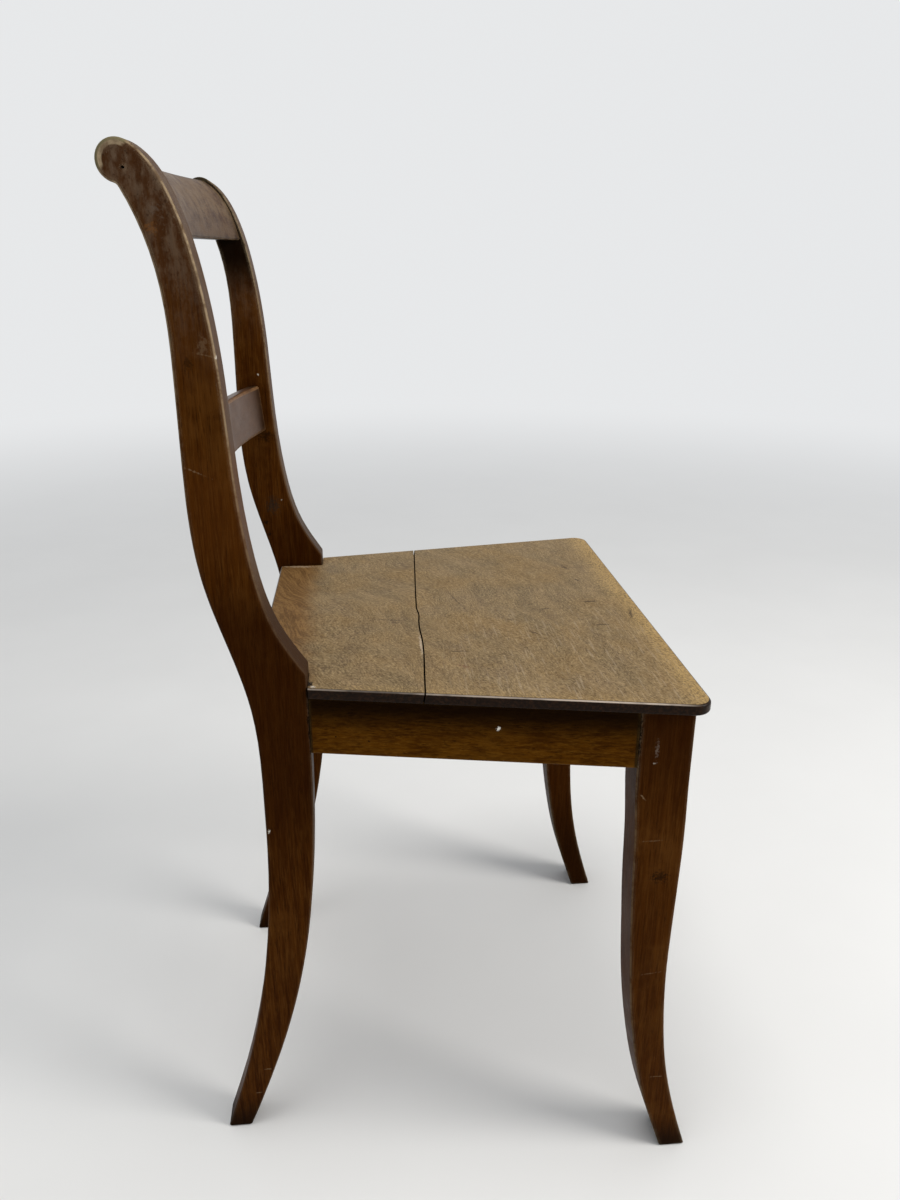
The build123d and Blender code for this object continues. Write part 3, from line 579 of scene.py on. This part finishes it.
seat_look = seat_wood("seat_wood", (0.4, 0.9, 0.0), seat_marks)
corner_look = bare_wood("corner_block_wood", "X", (1.5, 1.2, 1.8))
looks = {
    "rear_post_right": frame_wood(
        "post_right_wood", seed=(0.3, 0.1, 0.7), marks=post_marks, shades=post_shades, **post
    ),
    "rear_post_left": frame_wood(
        "post_left_wood",
        seed=(1.3, 2.1, 0.2),
        marks=far_post_marks,
        shades=far_post_shades,
        wear=0.6,
        **post,
    ),
    "front_leg_right": frame_wood(
        "leg_right_wood", seed=(2.2, 0.6, 1.7), marks=leg_marks, shades=leg_shades, wear=0.25, **leg
    ),
    "front_leg_left": frame_wood(
        "leg_left_wood", seed=(3.2, 1.6, 2.7), shades=far_leg_shades, wear=0.3, **leg
    ),
    "side_rail_right": frame_wood("rail_right_wood", seed=(0.2, 3.6, 0.4), marks=rail_marks, **side_rail),
    "side_rail_left": frame_wood("rail_left_wood", seed=(1.2, 4.6, 1.4), **side_rail),
    "front_rail": frame_wood("rail_front_wood", seed=(2.4, 5.6, 2.4), **end_rail),
    "rear_rail": frame_wood("rail_rear_wood", seed=(3.4, 6.6, 3.4), **end_rail),
    "cross_rail": frame_wood(
        "cross_rail_wood",
        tones=cross_brown,
        seed=(4.4, 7.6, 4.4),
        shades=cross_shades,
        figured=0.7,
        polish=0.50,
        **back_rail,
    ),
    "crest_rail": frame_wood(
        "crest_rail_wood",
        tones=crest_brown,
        seed=(5.4, 8.6, 5.4),
        shades=crest_shades,
        figured=0.35,
        polish=0.08,
        **back_rail,
    ),
    "seat_board_front": seat_look,
    "seat_board_rear": seat_look,
    "seat_rub_blocks": bare_wood("rub_block_wood", "Y", (0.5, 0.2, 0.8)),
    "seat_screws": old_steel("screw_steel"),
}

for name, node in nodes.items():
    node.data.materials.clear()
    node.data.materials.append(corner_look if name.startswith("corner_block") else looks[name])

# The boards' walls along the crack, painted very dark as shade: upright faces in the middle of the seat
crack_shade_look = crack_shade_wood("crack_shade_wood")
for name in ("seat_board_front", "seat_board_rear"):
    mesh = nodes[name].data
    mesh.materials.append(crack_shade_look)
    for face in mesh.polygons:
        if abs(face.normal.y) > crack_wall_normal and abs(face.center.y) < crack_half_reach:
            face.material_index = 1

# Floor: pale and plain near the chair, running out into the background
background = (0.80, 0.81, 0.82)
floor_radius = 14
plain_reach = 1.0
fade_reach = 4.5
bpy.ops.mesh.primitive_circle_add(vertices=96, radius=floor_radius, fill_type="NGON", location=(0, 0, 0))
floor = bpy.context.object
floor.name = "floor"
floor_material, graph, point = start("floor_paint")
paint = graph.mix(graph.noise(point, 3, 3, 0.6), (0.74, 0.74, 0.73), (0.80, 0.80, 0.79))
matt = {"Base Color": paint, "Roughness": 0.85, "Specular IOR Level": 0.2}
near = graph.add("ShaderNodeBsdfPrincipled", matt).outputs[0]
far = graph.add("ShaderNodeEmission", {"Color": background, "Strength": 1.0}).outputs[0]
fade = graph.step(graph.vector("LENGTH", point), plain_reach, fade_reach)
blend = graph.add("ShaderNodeMixShader", {0: fade, 1: near, 2: far})
graph.add("ShaderNodeOutputMaterial", {"Surface": blend.outputs[0]})
floor.data.materials.append(floor_material)

# Background, and soft light all round that is brighter from above
scene = bpy.context.scene
world = bpy.data.worlds.new("studio")
scene.world = world
world.use_nodes = True
graph = Graph(world.node_tree)
path = graph.add("ShaderNodeLightPath").outputs
seen = graph.math("MAXIMUM", path["Is Camera Ray"], path["Is Glossy Ray"])
seen = graph.math("MAXIMUM", seen, path["Is Transmission Ray"])
direction = graph.add("ShaderNodeTexCoord").outputs["Generated"]
strength = graph.step(graph.axes(direction)["Z"], -0.1, 0.9, 0.28, 0.60)
light = graph.add("ShaderNodeBackground", {"Color": (0.95, 0.97, 1.0), "Strength": strength})
shown = graph.add("ShaderNodeBackground", {"Color": background, "Strength": 1.0})
both = graph.add("ShaderNodeMixShader", {0: seen, 1: light.outputs[0], 2: shown.outputs[0]})
graph.add("ShaderNodeOutputWorld", {"Surface": both.outputs[0]})


def area_light(name, place, target, size, power, colour):
    lamp = bpy.data.lights.new(name, "AREA")
    lamp.shape = "DISK"
    lamp.size = size
    lamp.energy = power
    lamp.color = colour
    holder = bpy.data.objects.new(name, lamp)
    scene.collection.objects.link(holder)
    holder.location = place
    holder.rotation_mode = "QUATERNION"
    holder.rotation_quaternion = (Vector(target) - Vector(place)).to_track_quat("-Z", "Y")


area_light("key", (-1.0, -2.4, 1.9), (0, 0, 0.45), 1.3, 60, (1.0, 0.97, 0.93))
area_light("top", (-0.3, 0.2, 2.8), (0, 0, 0.4), 1.0, 22, (1.0, 0.99, 0.97))

# Camera at the photograph's place: lens and sensor in millimetres, angles in radians
camera_place = (-0.8199, 0.0510, 0.7859)
lens_length = 27.58
sensor_long_side = 36
yaw = -0.09281
pitch = 0.35855
roll = 0.00349
forward = Vector((math.cos(yaw) * math.cos(pitch), math.sin(yaw) * math.cos(pitch), -math.sin(pitch)))
right = forward.cross(Vector((0, 0, 1))).normalized()
up = right.cross(forward)
level_right = math.cos(roll) * right + math.sin(roll) * up
level_up = math.cos(roll) * up - math.sin(roll) * right
lens = bpy.data.cameras.new("camera")
lens.lens = lens_length
lens.sensor_width = sensor_long_side
lens.clip_start = 0.05
camera = bpy.data.objects.new("camera", lens)
scene.collection.objects.link(camera)
turn = Matrix((level_right, level_up, -forward)).transposed()
camera.matrix_world = Matrix.Translation(camera_place) @ turn.to_4x4()
scene.camera = camera
scene.view_settings.view_transform = "Standard"
